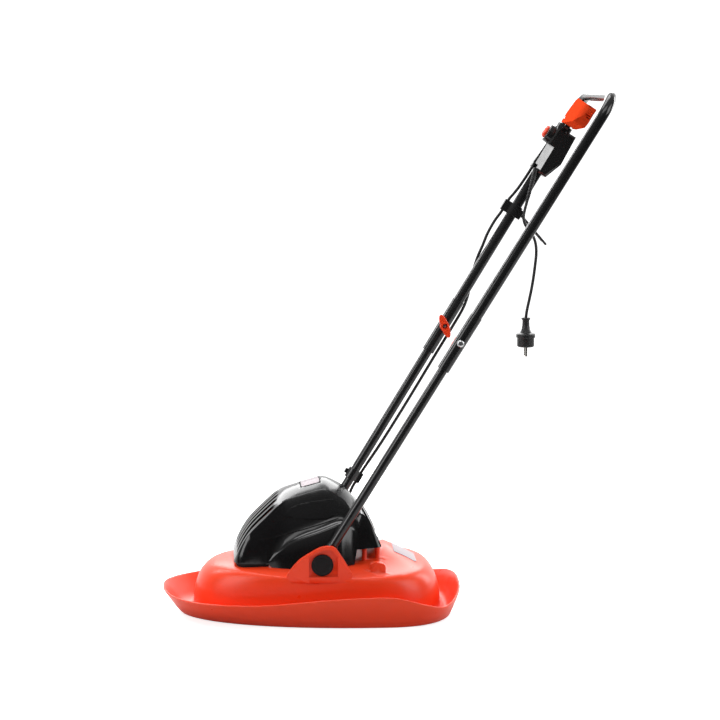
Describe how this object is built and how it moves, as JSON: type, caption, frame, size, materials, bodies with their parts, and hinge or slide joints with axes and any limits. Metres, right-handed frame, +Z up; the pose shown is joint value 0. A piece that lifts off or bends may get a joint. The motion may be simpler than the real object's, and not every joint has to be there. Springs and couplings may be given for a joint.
{
  "type": "hover mower",
  "caption": "Electric hover mower: domed boat-shaped deck with turned-up lip, slotted motor cover, impeller and bar blade, pivoting tubular handle with bail trigger and lock-off button.",
  "frame": {"origin": "on the ground, on the axis of the motor shaft and blade", "axes": "+X to the rear, where the user walks; +Y to the user's right; +Z up along the shaft"},
  "size_m": [0.883, 0.41, 1.0396],
  "materials": {
    "orange_gloss": "high-gloss moulded orange-red plastic",
    "black_gloss": "high-gloss moulded black plastic",
    "black_plastic": "satin moulded black plastic",
    "black_paint": "gloss black powder-coated steel tube",
    "badge_silver": "plain satin foil plate",
    "steel": "bright zinc-plated steel",
    "blade_steel": "ground and oiled spring steel",
    "zinc_cast": "as-cast aluminium",
    "lamination": "stacked steel laminations",
    "copper": "enamelled copper",
    "carbon": "dull carbon",
    "film_cap": "cast resin",
    "cable_rubber": "satin black cable sheath",
    "plug_metal": "nickel-plated brass"
  },
  "bodies": {
    "deck": {"hover_deck": "orange_gloss", "motor_cover": "black_gloss", "rear_panel": "black_plastic", "badge_plate": "badge_silver", "cover_screws": "steel", "motor_bracket": "zinc_cast", "motor_can": "steel", "field_core": "lamination", "field_coils": "copper", "upper_bracket": "zinc_cast", "lower_bearing": "steel", "upper_bearing": "steel", "brush_holders": "black_plastic", "carbon_brushes": "carbon", "motor_screws": "steel", "suppressor": "film_cap", "cable_gland": "cable_rubber", "pivot_bushes": "black_plastic", "cable_tail": "cable_rubber"},
    "rotor": {"motor_shaft": "steel", "armature_core": "lamination", "armature_windings": "copper", "commutator": "copper", "impeller": "black_plastic", "blade_spacers": "black_plastic", "cutting_blade": "blade_steel", "blade_bolt": "steel"},
    "handle": {"pivot_hub_left": "black_plastic", "pivot_hub_right": "black_plastic", "pivot_cap_left": "black_plastic", "pivot_cap_right": "black_plastic", "pivot_screws": "steel", "lower_tube_left": "black_paint", "lower_tube_right": "black_paint", "joint_sleeve_left": "black_plastic", "joint_sleeve_right": "black_plastic", "upper_handle": "black_paint", "joint_bolts": "steel", "switch_box_left": "black_plastic", "switch_box_right": "black_plastic", "switch_box_screws": "steel", "micro_switch": "black_plastic", "button_housing": "black_plastic", "button_spring": "steel", "lever_bracket": "black_plastic", "lever_pin": "steel", "lever_spring": "steel", "upper_cable_clip": "black_plastic", "lower_cable_clip": "black_plastic", "cord_hook": "black_plastic", "motor_cable": "cable_rubber", "strain_relief": "cable_rubber", "supply_cord": "cable_rubber", "plug_body": "cable_rubber", "plug_pins": "plug_metal"},
    "trigger": {"trigger_lever": "orange_gloss"},
    "button": {"lock_off_button": "orange_gloss"},
    "knob_left": {"wing_knob_left": "orange_gloss"},
    "knob_right": {"wing_knob_right": "orange_gloss"}
  },
  "joints": [
    {"name": "rotor_spin", "type": "hinge", "parent": "deck", "child": "rotor", "pos_m": [0, 0, 0], "axis": [0, 0, 1], "continuous": true},
    {"name": "handle_pivot", "type": "hinge", "parent": "deck", "child": "handle", "pos_m": [0.012, 0, 0.1215], "axis": [0, 1, 0], "range_deg": [-33, 28], "deforming": ["cable_tail"]},
    {"name": "trigger_squeeze", "type": "hinge", "parent": "handle", "child": "trigger", "pos_m": [0.53808, 0.14191, 0.97663], "axis": [-0.8517, 0, 0.524], "range_deg": [0, 6], "stiffness_Nm_per_rad": 2.5, "springref_deg": -6.88},
    {"name": "lock_off_press", "type": "slide", "parent": "handle", "child": "button", "axis": [0.8517, 0, -0.524], "range_m": [0, 0.004], "stiffness_N_per_m": 400, "springref_m": -0.003, "deforming": ["button_spring"]},
    {"name": "knob_left_turn", "type": "hinge", "parent": "handle", "child": "knob_left", "pos_m": [0.2796, -0.14701, 0.55648], "axis": [-0.018, -0.9994, -0.0292], "continuous": true},
    {"name": "knob_right_turn", "type": "hinge", "parent": "handle", "child": "knob_right", "pos_m": [0.2796, 0.14701, 0.55648], "axis": [-0.018, 0.9994, -0.0292], "continuous": true}
  ]
}
